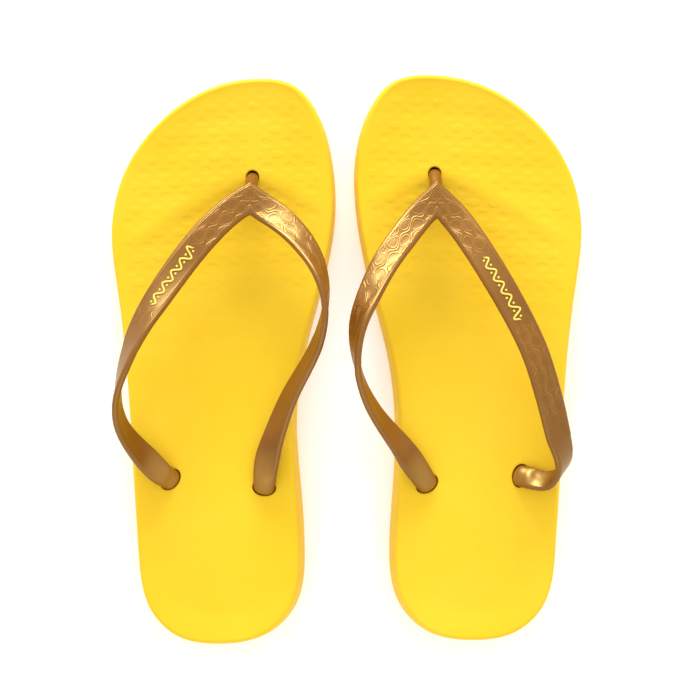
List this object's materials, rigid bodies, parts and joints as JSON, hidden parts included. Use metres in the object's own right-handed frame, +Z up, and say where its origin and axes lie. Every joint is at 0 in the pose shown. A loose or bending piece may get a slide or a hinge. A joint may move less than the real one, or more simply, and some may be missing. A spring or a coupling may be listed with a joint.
{
  "type": "flip flops",
  "caption": "Pair of women's flip flops with a flat moulded sole, dimpled footbed and a thin wavy-embossed strap from a toe post to an anchor on each side of the heel.",
  "frame": {"origin": "on the floor, under the middle of the pair's box", "axes": "+X to the right across the pair, +Y towards the toes, +Z up"},
  "size_m": [0.2076, 0.2513, 0.0505],
  "materials": {
    "sole": "matt yellow foamed vinyl",
    "strap": "satin metallic gold moulded vinyl",
    "motif": "raised pale yellow vinyl"
  },
  "bodies": {
    "left_rear": {"left_sole_rear": "sole", "left_anchor_medial": "strap", "left_anchor_lateral": "strap"},
    "left_fore": {"left_sole_fore": "sole", "left_toe_post": "strap"},
    "left_strap": {"left_strap_medial": "strap", "left_strap_lateral": "strap", "left_strap_motif": "motif"},
    "right_rear": {"right_sole_rear": "sole", "right_anchor_medial": "strap", "right_anchor_lateral": "strap"},
    "right_fore": {"right_sole_fore": "sole", "right_toe_post": "strap"},
    "right_strap": {"right_strap_medial": "strap", "right_strap_lateral": "strap", "right_strap_motif": "motif"}
  },
  "joints": [
    {"name": "right_shoe_lift", "type": "slide", "parent": "left_rear", "child": "right_rear", "axis": [0, 0, 1], "range_m": [0, 0.1]},
    {"name": "left_ball_flex", "type": "hinge", "parent": "left_rear", "child": "left_fore", "pos_m": [-0.055, 0.0472, 0.0143], "axis": [1, 0, 0], "range_deg": [0, 35], "stiffness_Nm_per_rad": 0.6},
    {"name": "left_strap_lift", "type": "hinge", "parent": "left_rear", "child": "left_strap", "pos_m": [-0.0559, -0.0541, 0.0188], "axis": [1, 0, 0], "range_deg": [0, 8.5]},
    {"name": "right_ball_flex", "type": "hinge", "parent": "right_rear", "child": "right_fore", "pos_m": [0.055, 0.0488, 0.0143], "axis": [1, 0, 0], "range_deg": [0, 35], "stiffness_Nm_per_rad": 0.6},
    {"name": "right_strap_lift", "type": "hinge", "parent": "right_rear", "child": "right_strap", "pos_m": [0.0559, -0.0525, 0.0188], "axis": [1, 0, 0], "range_deg": [0, 8.5]}
  ],
  "couplings": [
    {"joint": "left_strap_lift", "follows": "left_ball_flex", "ratio": 0.24},
    {"joint": "right_strap_lift", "follows": "right_ball_flex", "ratio": 0.24}
  ]
}
